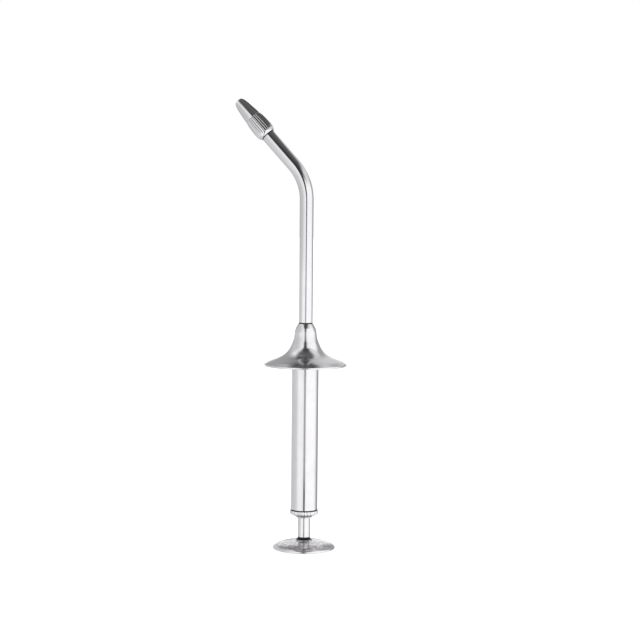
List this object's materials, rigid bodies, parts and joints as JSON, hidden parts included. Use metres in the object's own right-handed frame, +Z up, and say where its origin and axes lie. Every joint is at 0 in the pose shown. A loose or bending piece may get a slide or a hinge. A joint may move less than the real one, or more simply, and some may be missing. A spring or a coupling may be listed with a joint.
{
  "type": "dental syringe",
  "caption": "Curved steel dental syringe with a sprung thumb plunger, trumpet-shaped finger flange, bent neck and a blunt nozzle held by a fluted nut.",
  "frame": {"origin": "middle of the thumb plate's flat underside", "axes": "+Z up the barrel and plunger axis, away from the thumb plate; the neck bends towards -X in the XZ plane"},
  "size_m": [0.0422, 0.0298, 0.1627],
  "materials": {
    "polished_steel": "polished stainless steel",
    "satin_steel": "plain turned or drawn steel",
    "brass": "turned brass",
    "ptfe": "white PTFE"
  },
  "bodies": {
    "handle": {"end_cap": "polished_steel", "cap_bush": "ptfe", "barrel": "polished_steel", "finger_flange": "polished_steel", "return_spring": "satin_steel", "neck_tube": "polished_steel", "neck_collar": "satin_steel", "spring_seat": "satin_steel", "tip_fitting": "satin_steel"},
    "plunger": {"thumb_plate": "polished_steel", "plunger_rod": "polished_steel", "stop_collar": "brass", "collar_pin": "satin_steel", "spring_washer": "satin_steel", "push_rod": "satin_steel", "lock_nut": "satin_steel", "lower_ferrule": "brass", "drive_coil": "satin_steel"},
    "piston": {"upper_ferrule": "brass", "piston_rod": "satin_steel", "piston": "ptfe"},
    "nozzle": {"nozzle": "polished_steel", "nozzle_ring": "satin_steel"},
    "nozzle_nut": {"nozzle_nut": "polished_steel"}
  },
  "joints": [
    {"name": "plunger_slide", "type": "slide", "parent": "handle", "child": "plunger", "axis": [0, 0, 1], "range_m": [0, 0.0077], "stiffness_N_per_m": 400, "springref_m": -0.008, "deforming": ["return_spring", "drive_coil"]},
    {"name": "piston_slide", "type": "slide", "parent": "plunger", "child": "piston", "axis": [-0.9304, 0, -0.3665], "range_m": [0, 0.0057]},
    {"name": "nozzle_slide", "type": "slide", "parent": "handle", "child": "nozzle", "axis": [-0.682, 0, 0.7314], "range_m": [0, 0.0035]},
    {"name": "nozzle_nut_turn", "type": "hinge", "parent": "nozzle", "child": "nozzle_nut", "pos_m": [0, 0, 0.13359], "axis": [-0.682, 0, 0.7314], "range_deg": [0, 2520]}
  ],
  "couplings": [
    {"joint": "piston_slide", "follows": "plunger_slide", "ratio": 0.733},
    {"joint": "nozzle_nut_turn", "follows": "nozzle_slide", "rad_per_m": 12566}
  ]
}
